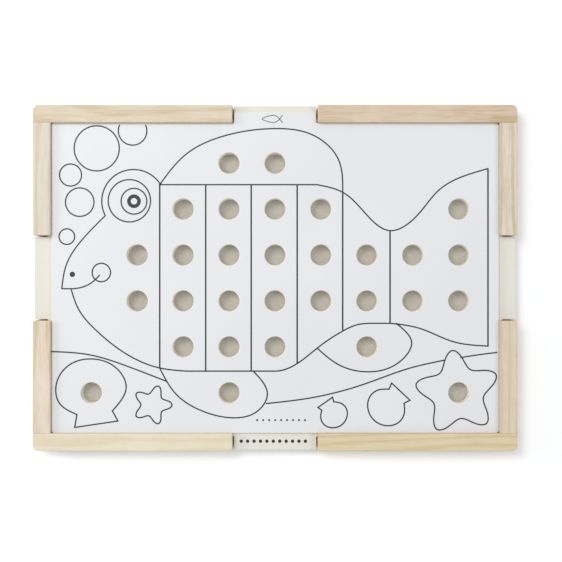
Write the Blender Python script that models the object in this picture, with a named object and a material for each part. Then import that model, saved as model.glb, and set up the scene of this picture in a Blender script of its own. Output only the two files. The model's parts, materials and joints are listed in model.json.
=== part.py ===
"""A wooden picture board: a framed board of sockets, with a punched picture card that lifts out.

Metres, +Z up. The origin is the middle of the underside. +X runs along the board, and +Y points
to its back edge, where the card has its title tab.
"""

from math import cos, pi, radians, sin

import bmesh
import bpy
from mathutils import Matrix, Vector

GAP = 0.0003  # between pieces that touch

# The lattice of sockets, which sets the size of the frame around it
PITCH = 0.0381
EDGE_MARGIN = 0.0476  # from the centres of the outer sockets to the outside of the frame
PUNCHED = (  # the sockets that the card opens, from the back row to the front row
    "...##....",
    "..####..#",
    ".########",
    ".########",
    "..###.#..",
    "#..#....#",
)
SOCKET_RADIUS = 0.0085
CARD_HOLE_RADIUS = 0.0089

# The boards and the card, from the bottom up
BACK_THICKNESS = 0.0025
BASE_THICKNESS = 0.0092
CARD_THICKNESS = 0.0025
CARD_CLEARANCE = 0.0005  # between the card and the rails
CARD_CORNER = 0.002

# The rails, which lap over the edge of the base board
RAIL_WIDTH = 0.0145
RAIL_LAP = 0.0035
RAIL_LIP = 0.0067  # the thickness of the lap above the base board
FRAME_CORNER = 0.0045
EASED_EDGE = 0.0007
EASED_STEPS = 2

# The finger gaps in the middle of each side, and what lies in them
FINGER_GAP = 0.0705
TAB_SLIT = 0.001  # between a tab of the boards and the rail beside it
TITLE_SLIT = 0.0013  # between the card's title tab and the rail beside it
TITLE_REACH = 0.0095
TITLE_CORNER = 0.0012

# The brads, which pin the rails to the base board and to each other
BRAD_RADIUS = 0.0007
BRAD_HEAD_RADIUS = 0.0013
BRAD_HEAD_THICKNESS = 0.0006
BRAD_SINK = 0.0004  # from the head to the rail's outer face
BRAD_POINT = 0.0015
BRAD_TIP_SHARE = 1 / 3  # of the shank's radius, at the flat of the point
EDGE_BRAD_LENGTH = 0.022
EDGE_BRAD_INSET = 0.022  # from a rail's end, or from the rail that it meets, to its brads
CORNER_BRAD_LENGTH = 0.026
CORNER_BRAD_INSET = 0.0065  # from the side of the frame
CORNER_BRAD_HEIGHTS = {"lower": 0.0045, "upper": 0.0145}

HOLE_SIDES = 24
BRAD_SIDES = 8
CORNER_STEPS = 5
SHARP_ANGLE = radians(40)
CUT_PAST = 0.001  # how far a cutter runs past the face that it opens

COLUMNS = len(PUNCHED[0])
ROWS = len(PUNCHED)
LENGTH = (COLUMNS - 1) * PITCH + 2 * EDGE_MARGIN
WIDTH = (ROWS - 1) * PITCH + 2 * EDGE_MARGIN
FLANGE = RAIL_WIDTH - RAIL_LAP  # the part of a rail outside the boards
BASE_BOTTOM = BACK_THICKNESS + GAP
BASE_TOP = BASE_BOTTOM + BASE_THICKNESS
CARD_BOTTOM = BASE_TOP + GAP
FRAME_TOP = BASE_TOP + GAP + RAIL_LIP
SIDES = {"left": -1, "right": 1, "front": -1, "back": 1}


def level(value):
    """A colour level from 0 to 255 as Blender's linear value."""
    share = value / 255
    return share / 12.92 if share <= 0.04045 else ((share + 0.055) / 1.055) ** 2.4


def material(name, colour, roughness, metallic=0.0):
    made = bpy.data.materials.new(name)
    made.use_nodes = True
    shader = made.node_tree.nodes["Principled BSDF"]
    shader.inputs["Base Color"].default_value = (*(level(c) for c in colour), 1)
    shader.inputs["Roughness"].default_value = roughness
    shader.inputs["Metallic"].default_value = metallic
    return made


def mesh_of(shape, name):
    """A mesh from a bmesh shape, with its faces pointing out."""
    bmesh.ops.recalc_face_normals(shape, faces=shape.faces)
    mesh = bpy.data.meshes.new(name)
    shape.to_mesh(mesh)
    shape.free()
    return mesh


def arc(x, y, radius, start, end):
    """Points on an arc about (x, y), between two angles in quarter turns."""
    turns = [start + (end - start) * step / CORNER_STEPS for step in range(CORNER_STEPS + 1)]
    return [(x + radius * cos(t * pi / 2), y + radius * sin(t * pi / 2)) for t in turns]


def prism(name, outline, low, high):
    """An upright solid between two heights, from its outline seen from above."""
    shape = bmesh.new()
    face = shape.faces.new([shape.verts.new((x, y, low)) for x, y in outline])
    grown = bmesh.ops.extrude_face_region(shape, geom=[face])["geom"]
    raised = [part for part in grown if isinstance(part, bmesh.types.BMVert)]
    bmesh.ops.translate(shape, verts=raised, vec=(0, 0, high - low))
    return mesh_of(shape, name)


def add(mesh, parent, made_of=None, location=(0, 0, 0)):
    """Places a mesh in the scene under its own name."""
    placed = bpy.data.objects.new(mesh.name, mesh)
    bpy.context.collection.objects.link(placed)
    placed.parent = parent
    placed.location = location
    if made_of:
        mesh.materials.append(made_of)
    return placed


def add_empty(name, parent=None, location=(0, 0, 0)):
    empty = bpy.data.objects.new(name, None)
    empty.empty_display_size = PITCH
    bpy.context.collection.objects.link(empty)
    empty.parent = parent
    empty.location = location
    return empty


def add_cutter(mesh, parent):
    cutter = add(mesh, parent)
    cutter.display_type = "WIRE"
    cutter.hide_render = True
    return cutter


def cut(piece, *cutters):
    for cutter in cutters:
        boolean = piece.modifiers.new(cutter.name, "BOOLEAN")
        boolean.operation = "DIFFERENCE"
        boolean.solver = "EXACT"
        boolean.object = cutter


def lattice(punched_only):
    """The centres of the sockets, or of those that the card opens."""
    for row, marks in enumerate(PUNCHED):
        for column, mark in enumerate(marks):
            if mark == "#" or not punched_only:
                across = (column - (COLUMNS - 1) / 2) * PITCH
                yield across, ((ROWS - 1) / 2 - row) * PITCH


def hole_cutter(name, parent, places, radius, low, high):
    """One cutter of round holes, which runs past both faces of a plate between two heights."""
    shape = bmesh.new()
    for x, y in places:
        bmesh.ops.create_cone(
            shape,
            cap_ends=True,
            segments=HOLE_SIDES,
            radius1=radius,
            radius2=radius,
            depth=high - low + 2 * CUT_PAST,
            matrix=Matrix.Translation((x, y, (low + high) / 2)),
        )
    for face in shape.faces:
        face.smooth = len(face.verts) == 4
    return add_cutter(mesh_of(shape, name), parent)


def board_outline():
    """The outline of both boards: a rectangle inside the flanges, with a tab in each finger gap."""
    x, y = LENGTH / 2 - FLANGE - GAP, WIDTH / 2 - FLANGE - GAP
    end_x, end_y = LENGTH / 2, WIDTH / 2
    tab = FINGER_GAP / 2 - TAB_SLIT
    quarter = [(end_x, 0), (end_x, tab), (x, tab), (x, y), (tab, y), (tab, end_y), (0, end_y)]
    half = quarter[:-1] + [(-px, py) for px, py in reversed(quarter[1:-1])]
    return half[1:] + [(-px, -py) for px, py in half[1:]]


def make_back_panel(parent, made_of):
    add(prism("back_panel", board_outline(), 0, BACK_THICKNESS), parent, made_of)


def make_base_board(parent, made_of, brad_cutter):
    board = add(prism("base_board", board_outline(), BASE_BOTTOM, BASE_TOP), parent, made_of)
    sockets = lattice(punched_only=False)
    cut(board, hole_cutter("socket_cutter", parent, sockets, SOCKET_RADIUS, BASE_BOTTOM, BASE_TOP))
    cut(board, brad_cutter)


def card_outline():
    """The card: a rectangle with rounded corners, and the title tab in its back edge."""
    x = LENGTH / 2 - RAIL_WIDTH - CARD_CLEARANCE - CARD_CORNER
    y = WIDTH / 2 - RAIL_WIDTH - CARD_CLEARANCE - CARD_CORNER
    edge = y + CARD_CORNER
    tab = FINGER_GAP / 2 - TITLE_SLIT
    inside, top = tab - TITLE_CORNER, edge + TITLE_REACH - TITLE_CORNER
    outside, foot = tab + TITLE_CORNER, edge + TITLE_CORNER
    return [
        *arc(x, -y, CARD_CORNER, -1, 0),
        *arc(x, y, CARD_CORNER, 0, 1),
        *arc(outside, foot, TITLE_CORNER, -1, -2),
        *arc(inside, top, TITLE_CORNER, 0, 1),
        *arc(-inside, top, TITLE_CORNER, 1, 2),
        *arc(-outside, foot, TITLE_CORNER, 0, -1),
        *arc(-x, y, CARD_CORNER, 1, 2),
        *arc(-x, -y, CARD_CORNER, 2, 3),
    ]


def make_picture_card(parent, made_of):
    """The card's own origin is the middle of its underside, where the lift acts."""
    lift = add_empty("card_lift", parent, (0, 0, CARD_BOTTOM))
    card = add(prism("picture_card", card_outline(), 0, CARD_THICKNESS), lift, made_of)
    punched = lattice(punched_only=True)
    cut(card, hole_cutter("punch_cutter", lift, punched, CARD_HOLE_RADIUS, 0, CARD_THICKNESS))


def rail_outline(half_x, half_y, toward_x, toward_y, corner):
    """A rail seen from above, about its middle, rounded at the corner that it shares with the frame."""
    centre_x, centre_y = half_x - corner, half_y - corner
    rounded = arc(centre_x, centre_y, corner, 0, 1) if corner else [(half_x, half_y)]
    square = [(-half_x, half_y), (-half_x, -half_y), (half_x, -half_y)]
    return [(px * toward_x, py * toward_y) for px, py in rounded + square]


def make_rail(name, parent, made_of, box, corner, toward, cutters):
    """One rail in a box (low x, high x, low y, high y) of the right back quarter, mirrored by toward."""
    low_x, high_x, low_y, high_y = box
    half_x, half_y = (high_x - low_x) / 2, (high_y - low_y) / 2
    middle = ((low_x + half_x) * toward[0], (low_y + half_y) * toward[1], 0)
    outline = rail_outline(half_x, half_y, *toward, corner)
    rail = add(prism(name, outline, 0, FRAME_TOP), parent, made_of, middle)
    eased = rail.modifiers.new("eased edges", "BEVEL")
    eased.width = EASED_EDGE
    eased.segments = EASED_STEPS
    eased.limit_method = "ANGLE"
    eased.angle_limit = SHARP_ANGLE
    cut(rail, *cutters)


def make_rails(parent, made_of, brad_cutter):
    """Long rails run to the corners of the frame, and short rails butt between them."""
    x, y = LENGTH / 2 - FLANGE, WIDTH / 2 - FLANGE
    seat = [(x, -y), (x, y), (-x, y), (-x, -y)]
    seat_cutter = add_cutter(prism("seat_cutter", seat, -CUT_PAST, BASE_TOP + GAP), parent)
    start = FINGER_GAP / 2
    long_box = (start, LENGTH / 2, WIDTH / 2 - RAIL_WIDTH, WIDTH / 2)
    short_box = (LENGTH / 2 - RAIL_WIDTH, LENGTH / 2, start, WIDTH / 2 - RAIL_WIDTH - GAP)
    for side in ("left", "right"):
        for end in ("front", "back"):
            toward = SIDES[side], SIDES[end]
            cutters = seat_cutter, brad_cutter
            long_name, short_name = f"long_rail_{end}_{side}", f"short_rail_{side}_{end}"
            make_rail(long_name, parent, made_of, long_box, FRAME_CORNER, toward, cutters)
            make_rail(short_name, parent, made_of, short_box, 0, toward, cutters)


def brad_places():
    """Each brad's name, length, the middle of its head and the way that it points out."""
    height = (BASE_BOTTOM + BASE_TOP) / 2
    face_x, face_y = LENGTH / 2 - BRAD_SINK, WIDTH / 2 - BRAD_SINK
    near = FINGER_GAP / 2 + EDGE_BRAD_INSET
    far_x = LENGTH / 2 - RAIL_WIDTH - EDGE_BRAD_INSET
    far_y = WIDTH / 2 - RAIL_WIDTH - EDGE_BRAD_INSET
    corner_x = LENGTH / 2 - CORNER_BRAD_INSET
    for side in ("left", "right"):
        for end in ("front", "back"):
            sx, sy = SIDES[side], SIDES[end]
            for place, x, y in (("inner", near, near), ("outer", far_x, far_y)):
                name = f"brad_{end}_{side}_{place}"
                yield name, EDGE_BRAD_LENGTH, (sx * x, sy * face_y, height), (0, sy, 0)
                name = f"brad_{side}_{end}_{place}"
                yield name, EDGE_BRAD_LENGTH, (sx * face_x, sy * y, height), (sx, 0, 0)
            for place, z in CORNER_BRAD_HEIGHTS.items():
                name = f"corner_brad_{end}_{side}_{place}"
                yield name, CORNER_BRAD_LENGTH, (sx * corner_x, sy * face_y, z), (0, sy, 0)


def brad_shape(shape, length, head_top, wider):
    """A turned brad with its head up and its point down, or its hole when it is made wider."""
    head, shank = BRAD_HEAD_RADIUS + wider, BRAD_RADIUS + wider
    under_head = -BRAD_HEAD_THICKNESS - wider
    tip = -length - wider
    profile = [
        (head, head_top),
        (head, under_head),
        (shank, under_head),
        (shank, tip + BRAD_POINT),
        (shank * BRAD_TIP_SHARE, tip),
    ]
    angles = [2 * pi * side / BRAD_SIDES for side in range(BRAD_SIDES)]
    rings = [[shape.verts.new((r * cos(a), r * sin(a), z)) for a in angles] for r, z in profile]
    for upper, lower in zip(rings, rings[1:]):
        for here in range(BRAD_SIDES):
            there = (here + 1) % BRAD_SIDES
            shape.faces.new((upper[here], lower[here], lower[there], upper[there]))
    shape.faces.new(rings[0])
    shape.faces.new(rings[-1])
    return [corner for ring in rings for corner in ring]


def brad_mesh(name, length):
    shape = bmesh.new()
    brad_shape(shape, length, 0, 0)
    mesh = mesh_of(shape, name)
    mesh.shade_smooth()
    mesh.set_sharp_from_angle(angle=SHARP_ANGLE)
    return mesh


def pointing(way):
    """The turn that points a brad's head along a direction."""
    return Vector((0, 0, 1)).rotation_difference(Vector(way))


def make_brad_cutter(parent):
    """The holes of all the brads, open at the frame's outer faces."""
    shape = bmesh.new()
    for _, length, at, way in brad_places():
        corners = brad_shape(shape, length, BRAD_SINK + CUT_PAST, GAP)
        turn = Matrix.Translation(at) @ pointing(way).to_matrix().to_4x4()
        bmesh.ops.transform(shape, matrix=turn, verts=corners)
    return add_cutter(mesh_of(shape, "brad_cutter"), parent)


def make_brads(parent, made_of):
    for name, length, at, way in brad_places():
        brad = add(brad_mesh(name, length), parent, made_of, at)
        brad.rotation_mode = "QUATERNION"
        brad.rotation_quaternion = pointing(way)


def main():
    for leftover in list(bpy.data.objects):
        bpy.data.objects.remove(leftover)
    pine = material("pine", (224, 211, 187), 0.6)
    painted = material("cream paint", (231, 227, 214), 0.5)
    hardboard = material("hardboard", (206, 197, 180), 0.75)
    coated = material("coated card", (236, 236, 238), 0.35)
    steel = material("steel", (176, 174, 170), 0.4, metallic=1.0)
    board = add_empty("picture_board")
    brad_cutter = make_brad_cutter(board)
    make_back_panel(board, hardboard)
    make_base_board(board, painted, brad_cutter)
    make_rails(board, pine, brad_cutter)
    make_brads(board, steel)
    make_picture_card(board, coated)


main()
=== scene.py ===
"""The looks of a wooden picture sorting board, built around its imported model.

Pine rails with eased edges and sunk brads frame a painted board of sockets, and a laminated card with
a printed outline picture of a fish lies in it. Every finer piece takes its place from the box of the
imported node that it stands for. Metres, +Z up out of the picture.
"""

import json
from math import atan2, cos, pi, radians, sin, tan

import bmesh
import bpy
import numpy as np
from mathutils import Matrix, Vector


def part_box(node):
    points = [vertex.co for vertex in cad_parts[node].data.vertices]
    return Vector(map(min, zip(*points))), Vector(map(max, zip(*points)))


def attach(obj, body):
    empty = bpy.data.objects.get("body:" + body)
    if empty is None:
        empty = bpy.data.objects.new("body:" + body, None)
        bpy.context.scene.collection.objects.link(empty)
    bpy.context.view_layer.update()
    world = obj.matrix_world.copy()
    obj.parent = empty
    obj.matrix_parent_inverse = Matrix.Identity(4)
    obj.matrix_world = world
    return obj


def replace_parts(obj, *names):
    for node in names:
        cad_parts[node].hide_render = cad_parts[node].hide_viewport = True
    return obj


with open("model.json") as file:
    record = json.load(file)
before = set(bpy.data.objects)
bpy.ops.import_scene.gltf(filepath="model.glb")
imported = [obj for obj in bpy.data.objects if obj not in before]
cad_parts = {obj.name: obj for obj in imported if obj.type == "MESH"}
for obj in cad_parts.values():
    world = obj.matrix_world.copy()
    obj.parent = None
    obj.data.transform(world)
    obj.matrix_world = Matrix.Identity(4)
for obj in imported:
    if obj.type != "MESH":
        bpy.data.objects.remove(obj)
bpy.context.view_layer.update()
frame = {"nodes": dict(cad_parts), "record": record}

# The lattice of sockets
COLUMNS, ROWS = 9, 6
SOCKET_RADIUS = 0.0085
SOCKET_RIM = 0.0003
CARD_HOLE_RADIUS = 0.0089
CARD_RIM = 0.0003
CARD_EDGE = 0.00015
CARD_FULLER = (0.0003, 0.00042)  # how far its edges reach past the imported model's, towards the rails
HOLE_SIDES = 64

# The boards and the card
TAB_SLIT = 0.001  # between a tab of the boards and the rail beside it
TITLE_SLIT = 0.0013  # between the card's title tab and the rail beside it
BOARD_CORNER = 0.0008
BOARD_EDGE = 0.0003
CARD_CORNER = 0.002
TITLE_CORNER = 0.0012
EDGE_STEPS = 4
CORNER_STEPS = 8

# The rails
RAIL_LAP = 0.0035  # over the edge of the base board
FRAME_CORNER = 0.0045
EASED_EDGE = 0.0009
EASED_END = 0.00015  # where a short rail butts against a long one
BUTT_REACH = 0.00024  # how far a short rail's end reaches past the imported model's, to a tight joint
BOARD_GAP = 0.0003
CUT_PAST = 0.001  # how far a cutter stands out of what it cuts
WELD = 0.000002  # points closer than this are made one

# The brads
BRAD_SHANK = 0.0007
BRAD_HEAD_THICKNESS = 0.0006
BRAD_DOME = 0.0003
BRAD_POINT = 0.0015
BRAD_SINK = 0.0004
BRAD_FIT = 0.00012  # around a sunk head
BRAD_CROWN = 0.00001  # the flat on top of the dome
BRAD_BEVEL = 0.0001  # round the underside of the head
BRAD_COLLAR = (0.00015, 0.0002)  # how much wider the shank is where it meets the head, and how deep
BRAD_SIDES = 32

# The printed lines
PRINT_AT = (-0.0015, 0.0004)  # where its middle lies, a little off the lattice
INK_LINE = 0.00115
INK_RULE = 0.0013
INK_FINE = 0.0006
INK_SUNK = 0.00002
INK_RAISED = 0.00003
INK_LAYER = 0.000001  # each stroke lies a little above the one before it
STROKE_STEP = 0.03  # of the lattice pitch
ARC_STEPS = 6  # the fewest
CAP_STEPS = 6
MITRE_LIMIT = 0.35  # the cosine below which a sharp turn's point is cut short
STAR_ARMS = 5
ARM_SWING, ARM_SHOULDER = 0.15, 0.92  # how blunt they are

# The timber
RINGS_PER_METRE = 300.0
RING_SWAY = 5.0  # in rings
PITH_STEP, PITH_SWAY = 0.11, 0.034  # where the middle of the rings lies, beside the rail and below it
PITH_DEPTH, PITH_RISE = 0.052, 0.011
RING_SHARE, STREAK_SHARE, DASH_SHARE, PATCH_SHARE = 0.2, 0.4, 0.55, 0.35
SWAY_SCALE = (3, 22, 22)  # how often it repeats in a metre, along the rail and across it
STREAK_SCALE = (14, 420, 420)
DASH_SCALE = (75, 1100, 1100)
FIBRE_SCALE = (90, 2800, 2800)
PORE_SCALE = (160, 1700, 1700)
PATCH_SCALE = 30.0
LATE_WOOD_LOSS = (0.07, 0.1, 0.16)  # how far the deepest tone is below the palest
TIMBER = {  # each rail's palest tone in levels from 0 to 255, and how strong its grain is
    "long_rail_back_left": ((216, 203, 182), 1.0),
    "long_rail_back_right": ((210, 192, 170), 1.7),
    "long_rail_front_left": ((224, 214, 191), 0.6),
    "long_rail_front_right": ((215, 199, 166), 0.9),
    "short_rail_left_back": ((217, 207, 193), 0.8),
    "short_rail_left_front": ((223, 209, 192), 1.4),
    "short_rail_right_back": ((217, 206, 190), 1.5),
    "short_rail_right_front": ((214, 200, 177), 1.0),
}

SHARP = radians(35)
SHADING_WEIGHT = 90  # how much the larger faces lead the shading of the rails' edges


def level(value):
    """A colour level from 0 to 255 as Blender's linear value."""
    share = value / 255
    return share / 12.92 if share <= 0.04045 else ((share + 0.055) / 1.055) ** 2.4


def colour(red, green, blue):
    return (level(red), level(green), level(blue), 1.0)


# ---------------------------------------------------------------- places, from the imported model

CARD_LOW, CARD_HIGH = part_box("picture_card")
BASE_LOW, BASE_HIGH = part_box("base_board")
BACK_LOW, BACK_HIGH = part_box("back_panel")
GAP_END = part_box("long_rail_back_right")[0].x  # half the width of a finger gap
RAIL_LOW, RAIL_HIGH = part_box("short_rail_right_back")
RAIL_WIDTH = RAIL_HIGH.x - RAIL_LOW.x
FRAME_TOP = RAIL_HIGH.z
HALF_LENGTH, HALF_WIDTH = BASE_HIGH.x, BASE_HIGH.y
FLANGE = RAIL_WIDTH - RAIL_LAP
BOARD_X, BOARD_Y = HALF_LENGTH - FLANGE - BOARD_GAP, HALF_WIDTH - FLANGE - BOARD_GAP

NODES = sorted(frame["nodes"])
RAILS = [name for name in NODES if "_rail_" in name]
BRADS = [name for name in NODES if "brad_" in name]


def punched_places():
    """The centres of the holes in the card, from the openings that the record states."""
    for opening in frame["record"]["physics"]["openings"]:
        if opening["name"].startswith("socket_"):
            low, high = opening["box_m"]
            yield (low[0] + high[0]) / 2, (low[1] + high[1]) / 2


PUNCHED = sorted(punched_places())
PITCH = max(x for x, _ in PUNCHED) / ((COLUMNS - 1) / 2)
SOCKETS = [
    ((column - (COLUMNS - 1) / 2) * PITCH, (row - (ROWS - 1) / 2) * PITCH)
    for column in range(COLUMNS)
    for row in range(ROWS)
]


# ---------------------------------------------------------------- materials


def node(tree, kind, inputs=None, **settings):
    """A shader node. An input takes a value, or the output of another node."""
    made = tree.nodes.new("ShaderNode" + kind)
    for key, value in settings.items():
        setattr(made, key, value)
    for key, value in (inputs or {}).items():
        if isinstance(value, bpy.types.NodeSocket):
            tree.links.new(value, made.inputs[key])
        else:
            made.inputs[key].default_value = value
    return made


def maths(tree, operation, first, second=0.0, clamp=False):
    inputs = {0: first, 1: second}
    return node(tree, "Math", inputs, operation=operation, use_clamp=clamp).outputs[0]


def ramp(tree, factor, low, high, to_low=0.0, to_high=1.0):
    """A value eased from to_low to to_high as factor goes from low to high."""
    inputs = {"Value": factor, "From Min": low, "From Max": high, "To Min": to_low, "To Max": to_high}
    made = node(tree, "MapRange", inputs, interpolation_type="SMOOTHSTEP", clamp=True)
    return made.outputs["Result"]


def mix(tree, factor, first, second, blend="MIX"):
    made = node(tree, "Mix", data_type="RGBA", blend_type=blend)
    for key, value in ((0, factor), (6, first), (7, second)):
        if isinstance(value, bpy.types.NodeSocket):
            tree.links.new(value, made.inputs[key])
        else:
            made.inputs[key].default_value = value
    return made.outputs[2]


def noise(tree, vector, scale, detail=3.0, roughness=0.5, distortion=0.0):
    inputs = {
        "Vector": vector,
        "Scale": scale,
        "Detail": detail,
        "Roughness": roughness,
        "Distortion": distortion,
    }
    return node(tree, "TexNoise", inputs).outputs["Fac"]


def stretched(tree, vector, scale, turn=0.0, shift=(0, 0, 0)):
    inputs = {"Vector": vector, "Scale": scale, "Rotation": (0, 0, turn), "Location": shift}
    return node(tree, "Mapping", inputs).outputs["Vector"]


def new_material(name):
    made = bpy.data.materials.new(name)
    made.use_nodes = True
    tree = made.node_tree
    return made, tree, tree.nodes["Principled BSDF"]


def bump(tree, shader, height, distance, strength=1.0):
    inputs = {"Height": height, "Distance": distance, "Strength": strength}
    made = node(tree, "Bump", inputs)
    tree.links.new(made.outputs["Normal"], shader.inputs["Normal"])


def surface(tree, shader, base, roughness, specular=0.5):
    tree.links.new(base, shader.inputs["Base Color"])
    tree.links.new(roughness, shader.inputs["Roughness"])
    shader.inputs["Specular IOR Level"].default_value = specular


def pine(name, along_y, seed, pale, grain):
    """Sanded pine: faint growth rings about a pith outside the rail, fine streaks, and end grain."""
    made, tree, shader = new_material(name)
    where = node(tree, "TexCoord").outputs["Object"]
    turn = pi / 2 if along_y else 0.0
    rail = stretched(tree, where, (1, 1, 1), turn, (0.37 * seed, PITH_STEP * seed, 0))
    sway = noise(tree, stretched(tree, rail, SWAY_SCALE), 1.0, 2.0)
    split = node(tree, "SeparateXYZ", {0: rail})
    pith_y = PITH_STEP * seed + PITH_SWAY * cos(2.4 * seed)
    pith_z = -PITH_DEPTH - PITH_RISE * sin(1.7 * seed)
    across = maths(tree, "SUBTRACT", split.outputs[1], pith_y)
    above = maths(tree, "SUBTRACT", split.outputs[2], pith_z)
    squares = [maths(tree, "MULTIPLY", side, side) for side in (across, above)]
    rings = maths(tree, "MULTIPLY", maths(tree, "SQRT", maths(tree, "ADD", *squares)), RINGS_PER_METRE)
    rings = maths(tree, "ADD", rings, maths(tree, "MULTIPLY", sway, RING_SWAY))
    late = ramp(tree, maths(tree, "SINE", maths(tree, "MULTIPLY", rings, 2 * pi)), 0.0, 1.0)
    streaks = noise(tree, stretched(tree, rail, STREAK_SCALE), 1.0, 3.0, 0.6)
    dashes = noise(tree, stretched(tree, rail, DASH_SCALE), 1.0, 2.0, 0.5)
    fibres = noise(tree, stretched(tree, rail, FIBRE_SCALE), 1.0, 3.0, 0.6)
    pores = ramp(tree, noise(tree, stretched(tree, rail, PORE_SCALE), 1.0, 1.0), 0.66, 0.8)
    patches = noise(tree, rail, PATCH_SCALE, 2.0)
    tone = maths(tree, "MULTIPLY", late, RING_SHARE)
    for part, share in ((streaks, STREAK_SHARE), (dashes, DASH_SHARE), (patches, PATCH_SHARE)):
        tone = maths(tree, "ADD", tone, maths(tree, "MULTIPLY", part, share))
    deep = [value * (1 - grain * loss) for value, loss in zip(pale, LATE_WOOD_LOSS)]
    base = mix(tree, ramp(tree, tone, 0.5, 1.0), colour(*pale), colour(*deep))
    base = mix(tree, maths(tree, "MULTIPLY", pores, 0.3), base, colour(158, 126, 88))
    base = mix(tree, 1.0, base, ramp(tree, fibres, 0.3, 0.7, 0.97, 1.02), "MULTIPLY")
    normal = node(tree, "SeparateXYZ", {0: node(tree, "NewGeometry").outputs["Normal"]})
    facing_end = maths(tree, "ABSOLUTE", normal.outputs[1 if along_y else 0])
    end = ramp(tree, facing_end, 0.7, 0.98)
    base = mix(tree, maths(tree, "MULTIPLY", end, 0.45), base, colour(196, 166, 122))
    surface(tree, shader, base, ramp(tree, streaks, 0.25, 0.75, 0.5, 0.62), specular=0.3)
    relief = maths(tree, "ADD", maths(tree, "MULTIPLY", fibres, 0.6), maths(tree, "MULTIPLY", late, 0.3))
    bump(tree, shader, maths(tree, "SUBTRACT", relief, pores), 0.00005)
    return made


def painted_wood():
    """Cream satin paint, rolled on thin enough for the board's fibres to lift it a little."""
    made, tree, shader = new_material("cream_satin_paint")
    where = node(tree, "TexCoord").outputs["Object"]
    cloud = noise(tree, where, 18.0, 3.0)
    stipple = noise(tree, where, 900.0, 3.0, 0.6)
    fibres = noise(tree, stretched(tree, where, (60, 420, 420)), 1.0, 3.0)
    base = mix(tree, ramp(tree, cloud, 0.3, 0.7), colour(221, 218, 208), colour(217, 213, 202))
    speck = ramp(tree, fibres, 0.62, 0.8, 0.0, 0.25)
    base = mix(tree, speck, base, colour(200, 190, 170))
    surface(tree, shader, base, ramp(tree, stipple, 0.2, 0.8, 0.42, 0.56), specular=0.4)
    relief = maths(tree, "ADD", stipple, maths(tree, "MULTIPLY", fibres, 0.6))
    bump(tree, shader, relief, 0.00003)
    return made


def fibre_with_painted_light_and_shade(name, pale, deep, scale):
    """The bare, pale fibres of the board where the sockets are bored, and of the sheet below it. Their
    tones carry painted light and shade: the sockets' walls are toned lighter to lighten the shade in
    them, and the sheet at their floors darker, partly its own colour and partly painted shade.
    """
    made, tree, shader = new_material(name)
    where = node(tree, "TexCoord").outputs["Object"]
    mottle = noise(tree, where, scale, 5.0, 0.65, 0.4)
    hairs = noise(tree, stretched(tree, where, (scale * 2, scale * 6, scale * 3)), 1.0, 4.0, 0.7)
    base = mix(tree, ramp(tree, mottle, 0.3, 0.7), pale, deep)
    base = mix(tree, ramp(tree, hairs, 0.6, 0.75, 0.0, 0.3), base, colour(158, 140, 114))
    surface(tree, shader, base, ramp(tree, hairs, 0.2, 0.8, 0.7, 0.86), specular=0.25)
    bump(tree, shader, maths(tree, "ADD", mottle, hairs), 0.00005)
    return made


def laminate():
    """The card's face: white paper under a satin film, with a faint orange peel."""
    made, tree, shader = new_material("satin_white_laminate")
    where = node(tree, "TexCoord").outputs["Object"]
    cloud = noise(tree, where, 9.0, 2.0)
    peel = noise(tree, where, 520.0, 2.0)
    base = mix(tree, ramp(tree, cloud, 0.3, 0.7), colour(221, 221, 223), colour(218, 218, 220))
    surface(tree, shader, base, ramp(tree, peel, 0.2, 0.8, 0.36, 0.44), specular=0.4)
    bump(tree, shader, peel, 0.00001)
    return made


def card_core():
    """The cut edge of the card: pale pressed board in thin layers."""
    made, tree, shader = new_material("cut_card_edge")
    where = node(tree, "TexCoord").outputs["Object"]
    layers = noise(tree, stretched(tree, where, (300, 300, 3500)), 1.0, 2.0)
    base = mix(tree, ramp(tree, layers, 0.3, 0.7), colour(245, 241, 231), colour(238, 232, 217))
    surface(tree, shader, base, ramp(tree, layers, 0.2, 0.8, 0.7, 0.85), specular=0.25)
    bump(tree, shader, layers, 0.00004)
    return made


def ink():
    made, tree, shader = new_material("printed_charcoal_ink")
    where = node(tree, "TexCoord").outputs["Object"]
    density = noise(tree, where, 1500.0, 2.0)
    base = mix(tree, ramp(tree, density, 0.3, 0.7), colour(40, 39, 42), colour(52, 51, 54))
    surface(tree, shader, base, ramp(tree, density, 0.2, 0.8, 0.4, 0.5), specular=0.4)
    return made


def bright_steel():
    made, tree, shader = new_material("bright_steel_wire")
    where = node(tree, "TexCoord").outputs["Object"]
    drawn = noise(tree, stretched(tree, where, (900, 900, 120)), 1.0, 3.0, 0.6)
    base = mix(tree, ramp(tree, drawn, 0.3, 0.7), colour(190, 188, 183), colour(156, 153, 147))
    surface(tree, shader, base, ramp(tree, drawn, 0.2, 0.8, 0.28, 0.46))
    shader.inputs["Metallic"].default_value = 1.0
    bump(tree, shader, drawn, 0.000008)
    return made


# ---------------------------------------------------------------- shapes


def steps(count):
    return [step / count for step in range(count + 1)]


def circle(x, y, radius, sides=HOLE_SIDES):
    return [
        (x + radius * cos(2 * pi * side / sides), y + radius * sin(2 * pi * side / sides))
        for side in range(sides)
    ]


def rounded(corners, inset=0.0):
    """An anticlockwise outline with its corners (x, y, radius) rounded, all moved in by inset."""
    points = []
    for before, here, after in zip(corners[-1:] + corners, corners, corners[1:] + corners[:1]):
        corner = Vector(here[:2])
        come = (corner - Vector(before[:2])).normalized()
        go = (Vector(after[:2]) - corner).normalized()
        turn = atan2(come.x * go.y - come.y * go.x, come.dot(go))
        side = 1 if turn > 0 else -1
        inward, inward_after = Vector((-come.y, come.x)), Vector((-go.y, go.x))
        corner += (inward + inward_after) * inset / (1 + come.dot(go))
        radius = here[2] - side * inset
        centre = corner - come * radius * tan(abs(turn) / 2) + inward * side * radius
        spoke = -inward * side * radius
        for share in steps(CORNER_STEPS):
            points.append(tuple(centre + Matrix.Rotation(turn * share, 2) @ spoke))
    return points


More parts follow.
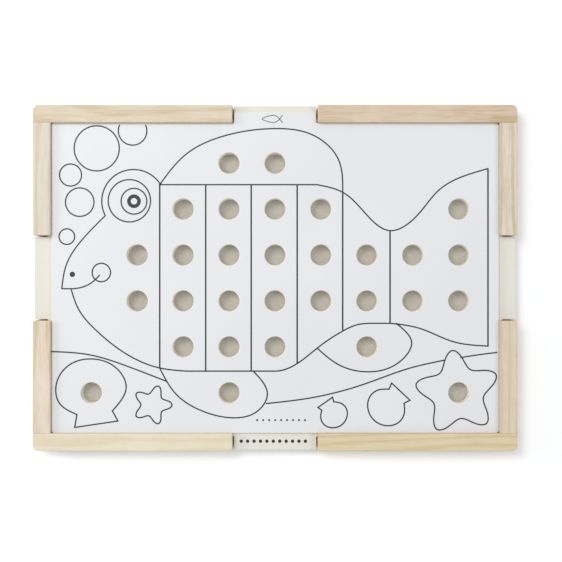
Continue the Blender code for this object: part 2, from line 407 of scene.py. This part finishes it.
def edge_profile(low, high, edge):
    """(inset, height) up the side of a plate with rounded edges, from its underside to its top."""
    quarter = [(edge * (1 - sin(s * pi / 2)), edge * (1 - cos(s * pi / 2))) for s in steps(EDGE_STEPS)]
    return [(inset, low + rise) for inset, rise in quarter] + [
        (inset, high - rise) for inset, rise in reversed(quarter)
    ]


def between(shape, rings, side_material=0):
    """Smooth faces between neighbouring rings of corners, each ring closed."""
    for lower, upper in zip(rings, rings[1:]):
        for here in range(len(lower)):
            there = (here + 1) % len(lower)
            face = shape.faces.new((lower[here], lower[there], upper[there], upper[here]))
            face.smooth = True
            face.material_index = side_material


def plate(name, loops, low, high, side_material=0):
    """A flat plate with rounded edges. Each loop is (its outline at an inset, its edge radius)."""
    shape = bmesh.new()
    caps = [], []
    for outline_at, edge in loops:
        rings = [
            [shape.verts.new((x, y, z)) for x, y in outline_at(inset)]
            for inset, z in edge_profile(low, high, edge)
        ]
        between(shape, rings, side_material)
        for cap, ring in zip(caps, (rings[0], rings[-1])):
            cap += [shape.edges.get((ring[k - 1], ring[k])) for k in range(len(ring))]
    for cap in caps:
        bmesh.ops.triangle_fill(shape, use_beauty=True, edges=cap)
    return mesh_of(shape, name)


def mesh_of(shape, name):
    bmesh.ops.recalc_face_normals(shape, faces=shape.faces)
    mesh = bpy.data.meshes.new(name)
    shape.to_mesh(mesh)
    shape.free()
    return mesh


def turned(shape, profile, sides):
    """A solid turned about Z, from its profile of (radius, height), top first, closed at both ends."""
    rings = [[shape.verts.new((x, y, z)) for x, y in circle(0, 0, r, sides)] for r, z in profile]
    between(shape, rings)
    shape.faces.new(rings[0])
    shape.faces.new(rings[-1])


def place(mesh, body, materials, at=Matrix()):
    """Puts a finished mesh in the scene as a piece that rides on a body."""
    piece = bpy.data.objects.new(mesh.name, mesh)
    bpy.context.scene.collection.objects.link(piece)
    piece.matrix_world = at
    for one in materials:
        mesh.materials.append(one)
    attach(piece, body)
    return piece


# ---------------------------------------------------------------- the boards and the card


def quarter_turned(quarter):
    """A whole anticlockwise outline of (x, y, radius), from its right back quarter."""
    back = quarter + [(-x, y, r) for x, y, r in reversed(quarter)]
    return back + [(-x, -y, r) for x, y, r in back]


def board_corners():
    """Both boards: a rectangle between the flanges of the rails, with a tab in each finger gap."""
    tab = GAP_END - TAB_SLIT
    quarter = (HALF_LENGTH, tab), (BOARD_X, tab), (BOARD_X, BOARD_Y), (tab, BOARD_Y), (tab, HALF_WIDTH)
    return quarter_turned([(x, y, BOARD_CORNER) for x, y in quarter])


def card_corners():
    """The card: a rectangle with rounded corners, and the title tab in its back edge."""
    x, y = CARD_HIGH.x + CARD_FULLER[0], CARD_FULLER[1] - CARD_LOW.y
    tab = GAP_END - TITLE_SLIT
    right = [(x, -y, CARD_CORNER), (x, y, CARD_CORNER)]
    right += [(tab, y, TITLE_CORNER), (tab, CARD_HIGH.y, TITLE_CORNER)]
    return right + [(-px, py, r) for px, py, r in reversed(right)]


def moved_in(corners):
    return lambda inset: rounded(corners, inset)


def hole(x, y, radius):
    return lambda inset: circle(x, y, radius + inset)


def make_back_panel(sheet):
    loops = [(moved_in(board_corners()), BOARD_EDGE)]
    mesh = plate("backing_sheet", loops, BACK_LOW.z, BACK_HIGH.z)
    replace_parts(place(mesh, "board", [sheet]), "back_panel")


def make_base_board(paint, fibre):
    """Painted all over, with the bare fibres showing in the sockets. Their tone is raised as painted
    light, to lighten the shade in the sockets.
    """
    loops = [(moved_in(board_corners()), BOARD_EDGE)]
    loops += [(hole(x, y, SOCKET_RADIUS), SOCKET_RIM) for x, y in SOCKETS]
    mesh = plate("socket_board", loops, BASE_LOW.z, BASE_HIGH.z, side_material=1)
    for face in mesh.polygons:
        x, y, _ = face.center
        if abs(x) > BOARD_X - BOARD_EDGE or abs(y) > BOARD_Y - BOARD_EDGE:
            face.material_index = 0
    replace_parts(place(mesh, "board", [paint, fibre]), "base_board")


def make_card(face, core):
    loops = [(moved_in(card_corners()), CARD_EDGE)]
    loops += [(hole(x, y, CARD_HOLE_RADIUS), CARD_RIM) for x, y in PUNCHED]
    mesh = plate("punched_card", loops, CARD_LOW.z, CARD_HIGH.z, side_material=1)
    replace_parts(place(mesh, "card", [face, core]), "picture_card")


# ---------------------------------------------------------------- the rails and the brads


def cutter(name, mesh):
    made = bpy.data.objects.new(name, mesh)
    bpy.context.scene.collection.objects.link(made)
    return made


def seat_cutter():
    """The space of the boards, which the rails lap over."""
    x, y = HALF_LENGTH - FLANGE, HALF_WIDTH - FLANGE
    shape = bmesh.new()
    bmesh.ops.create_cube(shape, size=1)
    size = (2 * x, 2 * y, CARD_LOW.z + CUT_PAST)
    bmesh.ops.scale(shape, verts=shape.verts, vec=size)
    bmesh.ops.translate(shape, verts=shape.verts, vec=(0, 0, (CARD_LOW.z - CUT_PAST) / 2))
    return cutter("seat", mesh_of(shape, "seat"))


def brad_frame(name):
    """A brad's head radius and length, and the matrix that stands it on its head's top, pointing out."""
    low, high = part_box(name)
    size, middle = high - low, (low + high) / 2
    axis = max(range(3), key=lambda k: size[k])
    way = Vector((0, 0, 0))
    way[axis] = 1 if middle[axis] > 0 else -1
    top = middle + way * size[axis] / 2
    turn = Vector((0, 0, 1)).rotation_difference(way).to_matrix().to_4x4()
    return min(size[k] for k in range(3)) / 2, size[axis], Matrix.Translation(top) @ turn


def recess_cutter():
    """The shallow holes that the brads' heads are sunk in."""
    shape = bmesh.new()
    for name in BRADS:
        radius, _, matrix = brad_frame(name)
        depth = BRAD_HEAD_THICKNESS + BRAD_FIT
        bore = radius + BRAD_FIT
        start = len(shape.verts)
        turned(shape, [(bore, BRAD_SINK + CUT_PAST), (bore, -depth)], BRAD_SIDES)
        shape.verts.ensure_lookup_table()
        bmesh.ops.transform(shape, matrix=matrix, verts=shape.verts[start:])
    return cutter("recesses", mesh_of(shape, "recesses"))


def rail_blank(name, low, high, short):
    """A rail before it is cut, about its middle, with weights that say how far each edge is eased."""
    middle, half = (low + high) / 2, (high - low) / 2
    toward_x, toward_y = (1 if middle.x > 0 else -1), (1 if middle.y > 0 else -1)
    ring = [(half.x, -half.y), (half.x, half.y), (-half.x, half.y), (-half.x, -half.y)]
    if short:
        ring[1:3] = [(half.x, half.y + BUTT_REACH), (-half.x, half.y + BUTT_REACH)]
    else:
        x, y, r = half.x - FRAME_CORNER, half.y - FRAME_CORNER, FRAME_CORNER
        ring[1:2] = [(x + r * cos(s * pi / 2), y + r * sin(s * pi / 2)) for s in steps(CORNER_STEPS)]
        ring.append((half.x - RAIL_WIDTH, -half.y))
    shape = bmesh.new()
    weights = shape.edges.layers.float.new("bevel_weight_edge")
    lower = [shape.verts.new((x * toward_x, y * toward_y, -half.z)) for x, y in ring]
    upper = [shape.verts.new((x * toward_x, y * toward_y, half.z)) for x, y in ring]
    between(shape, [lower, upper])
    shape.faces.new(lower)
    shape.faces.new(upper)
    bmesh.ops.recalc_face_normals(shape, faces=shape.faces)
    for edge in shape.edges:
        if edge.calc_face_angle() > SHARP:
            places = [(corner.co.x * toward_x, corner.co.y * toward_y) for corner in edge.verts]
            if short:
                butted = all(y > 0 for _, y in places)
            else:
                butted = all(y < 0 and x > half.x - RAIL_WIDTH - BOARD_GAP for x, y in places)
            edge[weights] = EASED_END / EASED_EDGE if butted else 1.0
    return mesh_of(shape, name), middle


def applied(piece, name):
    """The piece's mesh with its modifiers applied."""
    bpy.context.view_layer.update()
    final = piece.evaluated_get(bpy.context.evaluated_depsgraph_get())
    mesh = bpy.data.meshes.new_from_object(final)
    mesh.name = name
    return mesh


def close_slivers(mesh):
    """Welds points that the cuts left side by side, and fills a sliver that they left open."""
    shape = bmesh.new()
    shape.from_mesh(mesh)
    bmesh.ops.remove_doubles(shape, verts=shape.verts, dist=WELD)
    bmesh.ops.holes_fill(shape, edges=[edge for edge in shape.edges if edge.is_boundary], sides=4)
    shape.to_mesh(mesh)
    shape.free()


def make_rail(name, cutters, timber):
    low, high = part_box(name)
    blank, middle = rail_blank(name + "_blank", low, high, short=name.startswith("short"))
    work = cutter(name + "_work", blank)
    work.location = middle
    eased = work.modifiers.new("eased", "BEVEL")
    eased.limit_method = "WEIGHT"
    eased.width = EASED_EDGE
    eased.segments = EDGE_STEPS
    for one in cutters:
        boolean = work.modifiers.new(one.name, "BOOLEAN")
        boolean.operation = "DIFFERENCE"
        boolean.solver = "EXACT"
        boolean.object = one
    mesh = applied(work, name.replace("rail", "pine_rail"))
    bpy.data.objects.remove(work)
    close_slivers(mesh)
    mesh.materials.clear()
    mesh.shade_smooth()
    mesh.set_sharp_from_angle(angle=SHARP)
    piece = place(mesh, "board", [timber], Matrix.Translation(middle))
    even = piece.modifiers.new("even shading", "WEIGHTED_NORMAL")
    even.keep_sharp = True
    even.weight = SHADING_WEIGHT
    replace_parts(piece, name)


def rail_timber(name):
    """Each rail is cut from a board of its own, so its grain and its tone differ a little."""
    return pine(name + "_timber", name.startswith("short"), 1 + RAILS.index(name), *TIMBER[name])


def make_rails():
    cutters = [seat_cutter(), recess_cutter()]
    for name in RAILS:
        make_rail(name, cutters, rail_timber(name))
    for one in cutters:
        bpy.data.objects.remove(one)


def brad_profile(head, length):
    """(radius, height) of a brad from the crown of its head down to its point."""
    quarter = [s * pi / 2 for s in steps(EDGE_STEPS)]
    crown = [(head * sin(a) + BRAD_CROWN, BRAD_DOME * (cos(a) - 1)) for a in quarter]
    under = -BRAD_HEAD_THICKNESS
    wider, deep = BRAD_COLLAR
    neck = [(head, under + BRAD_BEVEL), (head - BRAD_BEVEL, under)]
    neck += [(BRAD_SHANK + wider, under), (BRAD_SHANK, under - deep)]
    return crown + neck + [(BRAD_SHANK, BRAD_POINT - length), (BRAD_SHANK / 4, -length)]


def make_brad(name, steel):
    head, length, matrix = brad_frame(name)
    shape = bmesh.new()
    turned(shape, brad_profile(head, length), BRAD_SIDES)
    mesh = mesh_of(shape, name.replace("brad", "steel_brad"))
    mesh.set_sharp_from_angle(angle=SHARP)
    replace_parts(place(mesh, "board", [steel], matrix), name)


# ---------------------------------------------------------------- the printed picture
# Its lines are laid out in pitches of the lattice from the middle of the card.


def arc(x, y, radius, start, end):
    """Points on an arc about (x, y), between two angles in degrees."""
    count = max(ARC_STEPS, round(abs(radians(end - start)) * radius / STROKE_STEP))
    angles = [radians(start + (end - start) * share) for share in steps(count)]
    return [(x + radius * cos(a), y + radius * sin(a)) for a in angles]


def curve(points, closed=False):
    """The smoothest curve through the points: a cubic spline by chord length, with free ends."""
    knots = np.array(points + points[:1] if closed else points, float)
    spans = np.hypot(*np.diff(knots, axis=0).T)
    slopes = np.diff(knots, axis=0) / spans[:, None]
    bends = spline_bends(spans, slopes, closed)
    smooth = []
    for k, span in enumerate(spans):
        count = max(2, round(span / STROKE_STEP))
        for t in (span * step / count for step in range(count)):
            rise = slopes[k] - span * (2 * bends[k] + bends[k + 1]) / 6
            cubic = (bends[k + 1] - bends[k]) / (6 * span)
            smooth.append(tuple(knots[k] + rise * t + bends[k] * t**2 / 2 + cubic * t**3))
    return smooth if closed else smooth + [tuple(knots[-1])]


def spline_bends(spans, slopes, closed):
    """The second derivative at each knot, so that neighbouring stretches bend alike where they meet."""
    count = len(spans) if closed else len(spans) + 1
    system, wanted = np.eye(count), np.zeros((count, 2))
    for k in range(0 if closed else 1, count if closed else count - 1):
        before, after = spans[k - 1], spans[k]
        system[k, k] = 2 * (before + after)
        system[k, k - 1] = before
        system[k, (k + 1) % count] = after
        wanted[k] = 6 * (slopes[k] - slopes[k - 1])
    bends = np.linalg.solve(system, wanted)
    return np.vstack([bends, bends[:1]]) if closed else bends


def sides_of(points, half, closed):
    """The right and left edges of a stroke, mitred where it turns."""
    right, left = [], []
    last = len(points) - 1
    for k, here in enumerate(points):
        before = points[k - 1] if closed or k else here
        after = points[(k + 1) % len(points)] if closed or k < last else here
        come, go = (here - before).normalized(), (after - here).normalized()
        if not closed and k in (0, last):
            come = go = go if k == 0 else come
        along = (come + go).normalized()
        reach = half / max(along.dot(go), MITRE_LIMIT)
        across = Vector((along.y, -along.x)) * reach
        right.append(here + across)
        left.append(here - across)
    return right, left


def cap(end, way, half):
    """Half a circle round the end of a stroke, from its right side to its left."""
    turn = atan2(way.y, way.x) - pi / 2
    shares = steps(CAP_STEPS)[1:-1]
    return [end + Vector((cos(turn + pi * s), sin(turn + pi * s))) * half for s in shares]


def on_card(points):
    """Points of the layout as places on the card."""
    return [Vector(p) * PITCH + Vector(PRINT_AT) for p in points]


class Print:
    """Strokes of ink, raised a hair above a face at one height."""

    def __init__(self, name, face_height):
        self.name, self.face, self.shape, self.count = name, face_height, bmesh.new(), 0

    def heights(self):
        self.count += 1
        return self.face - INK_SUNK, self.face + INK_RAISED + self.count * INK_LAYER

    def solid(self, outline, tops):
        """A thin solid inside an outline, whose flat faces are split as tops says."""
        low, high = self.heights()
        rings = [[self.shape.verts.new((p[0], p[1], z)) for p in outline] for z in (low, high)]
        for k in range(len(outline)):
            j = (k + 1) % len(outline)
            self.shape.faces.new((rings[0][k], rings[0][j], rings[1][j], rings[1][k]))
        for face in tops:
            self.shape.faces.new([rings[1][k] for k in face])
            self.shape.faces.new([rings[0][k] for k in reversed(face)])

    def stroke(self, points, width=INK_LINE):
        points = on_card(points)
        half, count = width / 2, len(points)
        right, left = sides_of(points, half, False)
        end_cap = cap(points[-1], points[-1] - points[-2], half)
        start_cap = cap(points[0], points[0] - points[1], half)
        outline = right + end_cap + left[::-1] + start_cap
        far = count + len(end_cap)
        left_at = [far + count - 1 - k for k in range(count)]
        tops = [(k, k + 1, left_at[k + 1], left_at[k]) for k in range(count - 1)]
        tops.append([count - 1, *range(count, far), left_at[-1]])
        tops.append([left_at[0], *range(far + count, len(outline)), 0])
        self.solid(outline, tops)

    def loop(self, points, width=INK_LINE):
        """A closed stroke."""
        points = on_card(points)
        low, high = self.heights()
        right, left = sides_of(points, width / 2, True)
        around = (right, low), (right, high), (left, high), (left, low)
        rings = [[self.shape.verts.new((*p, z)) for p in side] for side, z in around]
        for inner, outer in zip(rings, rings[1:] + rings[:1]):
            for k in range(len(points)):
                j = (k + 1) % len(points)
                self.shape.faces.new((inner[k], inner[j], outer[j], outer[k]))

    def ring(self, x, y, radius, width=INK_LINE):
        self.loop(arc(x, y, radius, 0, 360)[:-1], width)

    def dot(self, x, y, radius):
        outline = on_card(arc(x, y, radius, 0, 360)[:-1])
        self.solid(outline, [range(len(outline))])

    def done(self, body, black):
        bmesh.ops.recalc_face_normals(self.shape, faces=self.shape.faces)
        mesh = bpy.data.meshes.new(self.name)
        self.shape.to_mesh(mesh)
        self.shape.free()
        place(mesh, body, [black])


def print_bubbles(art):
    art.ring(-3.84, 2.81, 0.49)
    art.ring(-4.41, 2.23, 0.24)
    art.ring(-4.21, 1.64, 0.31)
    art.ring(-4.49, 0.89, 0.17)
    art.stroke(arc(-3.06, 3.19, 0.31, 157, 383))


def print_head(art):
    art.stroke(arc(-3.04, 1.66, 0.69, 207, 33))
    art.stroke(curve([(-3.66, 1.34), (-4.16, 0.82), (-4.5, 0.28), (-4.6, -0.24)]))
    art.stroke(curve([(-4.6, -0.24), (-4.25, -0.23), (-3.98, -0.13), (-3.78, 0.05)]))
    chin = [(-4.4, -0.24), (-4.24, -0.68), (-3.84, -1.16)]
    art.stroke(curve([*chin, (-3.2, -1.66), (-2.5, -1.96), (-1.9, -2.035)]))
    art.ring(-3.74, 0.11, 0.2)
    art.dot(-4.37, 0.07, 0.06)


def print_eye(art):
    art.ring(-3.13, 1.67, 0.46)
    art.ring(-3.03, 1.66, 0.28)
    art.ring(-3.03, 1.66, 0.11, 0.08 * PITCH)


def print_body(art):
    back = [(0.95, 2.02), (1.5, 1.86), (2.0, 1.4), (2.54, 1.02)]
    tail = [(3.08, 1.3), (3.6, 1.9), (4.67, 2.37)]
    art.stroke([(-2.47, 2.02), *curve(back + tail)])
    art.stroke([(4.67, 2.37), (4.67, -1.49)], INK_RULE)
    art.stroke(curve([(4.67, -1.49), (3.9, -1.39), (3.2, -1.11), (2.54, -0.995)]))
    belly = [(-0.1, -2.035), (0.15, -2.025), (0.52, -1.87), (1.0, -1.5)]
    belly += [(1.5, -1.17), (1.85, -1.02), (2.1, -0.995)]
    art.stroke([(-1.9, -2.035), *curve(belly), (2.54, -0.995)])


def print_bands(art):
    for x, low in ((-2.47, -1.97), (-1.47, -2.035), (-0.48, -2.035), (0.52, -1.85)):
        art.stroke([(x, 2.02), (x, low)], INK_RULE)
    art.stroke([(1.51, 1.86), (1.51, -1.14)], INK_RULE)
    art.stroke([(2.54, 1.02), (2.54, -0.995)], INK_RULE)


def print_fins(art):
    upper = [(-2.47, 2.02), (-1.9, 2.68), (-1.0, 3.1), (0.04, 3.24), (0.86, 3.1)]
    art.stroke(curve([*upper, (1.42, 2.56), (1.51, 1.86)]))
    lower = [(-2.47, -1.97), (-2.1, -2.55), (-1.5, -2.92), (-0.9, -3.05), (-0.35, -2.91)]
    art.stroke(curve([*lower, (-0.13, -2.56), (-0.43, -2.04)]))
    rear = [(0.96, -1.54), (1.45, -1.91), (2.1, -2.05), (2.75, -1.83)]
    art.stroke(curve([*rear, (3.01, -1.42), (2.68, -1.0)]))


def print_sand(art):
    art.stroke(curve([(-4.82, -1.61), (-4.0, -1.68), (-3.2, -1.92), (-2.34, -2.25)]))
    art.stroke(curve([(-0.15, -2.74), (0.8, -2.62), (2.0, -2.31), (2.97, -1.97), (3.71, -1.8)]))
    art.stroke(curve([(4.08, -1.74), (4.46, -1.68), (4.86, -1.63)]))


def shell(art, x, y, size, turn):
    """A plain fan shell with a straight hinge across its top, turned by an angle in degrees."""
    right = [(0.59, 0.93), (1.04, 0.42), (1.1, -0.12), (0.72, -0.7)]
    fan = curve([*right, (0, -0.95), *((-px, py) for px, py in reversed(right))])
    spin = Matrix.Rotation(radians(turn), 2)
    points = [*fan, (-0.72, 1.29), (0.72, 1.29)]
    art.loop([tuple(spin @ Vector(p) * size + Vector((x, y))) for p in points])


def star(art, x, y, outer, inner, turn):
    """A starfish with round arms."""
    corners = []
    shoulder = ARM_SHOULDER * outer
    arm = (-ARM_SWING, shoulder), (0, outer), (ARM_SWING, shoulder), (pi / STAR_ARMS, inner)
    for number in range(STAR_ARMS):
        way = radians(turn + 360 / STAR_ARMS * number)
        for swing, reach in arm:
            corners.append((x + reach * cos(way + swing), y + reach * sin(way + swing)))
    art.loop(curve(corners, closed=True))


def print_sea_bed(art):
    star(art, 4.01, -2.5, 0.92, 0.57, 97)
    star(art, -2.63, -2.77, 0.43, 0.25, 72)
    shell(art, 1.33, -3.0, 0.27, 35)
    shell(art, 2.44, -2.84, 0.38, -43)
    fan = [(-4.27, -2.98), (-4.66, -2.72), (-4.7, -2.25), (-4.35, -1.85)]
    fan += [(-3.97, -1.77), (-3.45, -1.94), (-3.2, -2.36), (-3.5, -2.9)]
    art.loop([*curve(fan), (-3.38, -3.12), (-4.32, -3.26)])


def print_title_mark(art):
    """A tiny plain fish, where the card's title would be."""
    nose = [(-0.14, 3.4), (-0.24, 3.45), (-0.14, 3.5)]
    art.stroke(curve([(0.2, 3.53), (0.05, 3.38), *nose, (0.05, 3.52), (0.2, 3.37)]), INK_FINE)


def dotted(art, x, y, count, step, radius):
    """A plain row of dots about (x, y), in place of a mark."""
    for k in range(count):
        art.dot(x + (k - (count - 1) / 2) * step, y, radius)


def print_card(black):
    parts = {
        "printed_bubbles": print_bubbles,
        "printed_head": print_head,
        "printed_eye": print_eye,
        "printed_body": print_body,
        "printed_bands": print_bands,
        "printed_fins": print_fins,
        "printed_sand": print_sand,
        "printed_sea_bed": print_sea_bed,
        "printed_title_mark": print_title_mark,
        "printed_card_dots": lambda art: dotted(art, 0.17, -3.1, 9, 0.13, 0.025),
    }
    for name, draw in parts.items():
        art = Print(name, CARD_HIGH.z)
        draw(art)
        art.done("card", black)


def print_board(black):
    art = Print("printed_board_dots", BASE_HIGH.z)
    dotted(art, 0.0, -3.57, 11, 0.14, 0.04)
    art.done("board", black)


# ---------------------------------------------------------------- the studio

WORLD_LIGHT = 0.6
WORLD_TINT = (0.93, 0.965, 1.0, 1.0)
FLOOR_REACH = 4.0
FLOOR_DROP = 0.0002  # below the object's underside
FLOOR_TONES = (0.99, 0.99, 0.99, 1.0), (0.98, 0.98, 0.98, 1.0)
FILM_WIDTH = 36.0  # in millimetres
VIEW_WIDTH = 0.4635  # across the picture, at the top of the frame
VIEW_DISTANCE = 0.87
VIEW_AIM = (0.0049, -0.00245)
SOFTBOXES = (  # name, place, size, watts, tint
    ("key", (-0.75, 0.66, 1.8), 0.8, 16.1, (1.0, 0.985, 0.96)),
    ("fill", (1.3, 0.0, 1.4), 0.6, 6.0, (1.0, 0.99, 0.97)),
    ("low_left", (-1.6, 0.35, 0.75), 0.5, 7.8, (1.0, 0.99, 0.97)),
    ("low_front", (0.0, -1.6, 1.0), 0.6, 1.6, (1.0, 0.99, 0.97)),
)


def make_floor():
    made, tree, shader = new_material("white_sweep")
    where = node(tree, "TexCoord").outputs["Object"]
    cloud = noise(tree, where, 3.0, 2.0)
    base = mix(tree, cloud, *FLOOR_TONES)
    surface(tree, shader, base, ramp(tree, cloud, 0, 1, 0.8, 0.9), specular=0.1)
    shape = bmesh.new()
    bmesh.ops.create_grid(shape, x_segments=8, y_segments=8, size=FLOOR_REACH)
    bmesh.ops.translate(shape, verts=shape.verts, vec=(0, 0, BACK_LOW.z - FLOOR_DROP))
    mesh = mesh_of(shape, "floor")
    mesh.materials.append(made)
    floor = bpy.data.objects.new("floor", mesh)
    bpy.context.scene.collection.objects.link(floor)


def make_world():
    world = bpy.data.worlds.new("studio")
    bpy.context.scene.world = world
    world.use_nodes = True
    sky = world.node_tree.nodes["Background"]
    sky.inputs["Color"].default_value = WORLD_TINT
    sky.inputs["Strength"].default_value = WORLD_LIGHT


def make_softbox(name, at, size, power, tint):
    light = bpy.data.lights.new(name, "AREA")
    light.shape = "SQUARE"
    light.size = size
    light.energy = power
    light.color = tint
    placed = bpy.data.objects.new(name, light)
    bpy.context.scene.collection.objects.link(placed)
    placed.location = at
    placed.rotation_mode = "QUATERNION"
    placed.rotation_quaternion = (-Vector(at)).to_track_quat("-Z", "Y")


def make_camera():
    """Looks straight down at the top of the frame."""
    camera = bpy.data.cameras.new("camera")
    camera.sensor_width = FILM_WIDTH
    camera.lens = FILM_WIDTH * VIEW_DISTANCE / VIEW_WIDTH
    placed = bpy.data.objects.new("camera", camera)
    bpy.context.scene.collection.objects.link(placed)
    placed.location = (*VIEW_AIM, FRAME_TOP + VIEW_DISTANCE)
    bpy.context.scene.camera = placed


# ---------------------------------------------------------------- the whole scene


def main():
    make_camera()
    make_floor()
    make_world()
    for light in SOFTBOXES:
        make_softbox(*light)
    bpy.context.scene.view_settings.view_transform = "Standard"

    # Painted light and shade in the sockets: their walls are toned lighter than the board's paint, and
    # the sheet at their floors is toned darker.
    fibre = fibre_with_painted_light_and_shade("bored_fibre_with_painted_light", colour(241, 237, 229), colour(233, 228, 217), 240.0)
    sheet = fibre_with_painted_light_and_shade("backing_fibre_with_painted_shade", colour(206, 201, 193), colour(197, 192, 182), 160.0)
    make_back_panel(sheet)
    make_base_board(painted_wood(), fibre)
    make_card(laminate(), card_core())
    make_rails()
    steel = bright_steel()
    for name in BRADS:
        make_brad(name, steel)
    black = ink()
    print_card(black)
    print_board(black)


main()
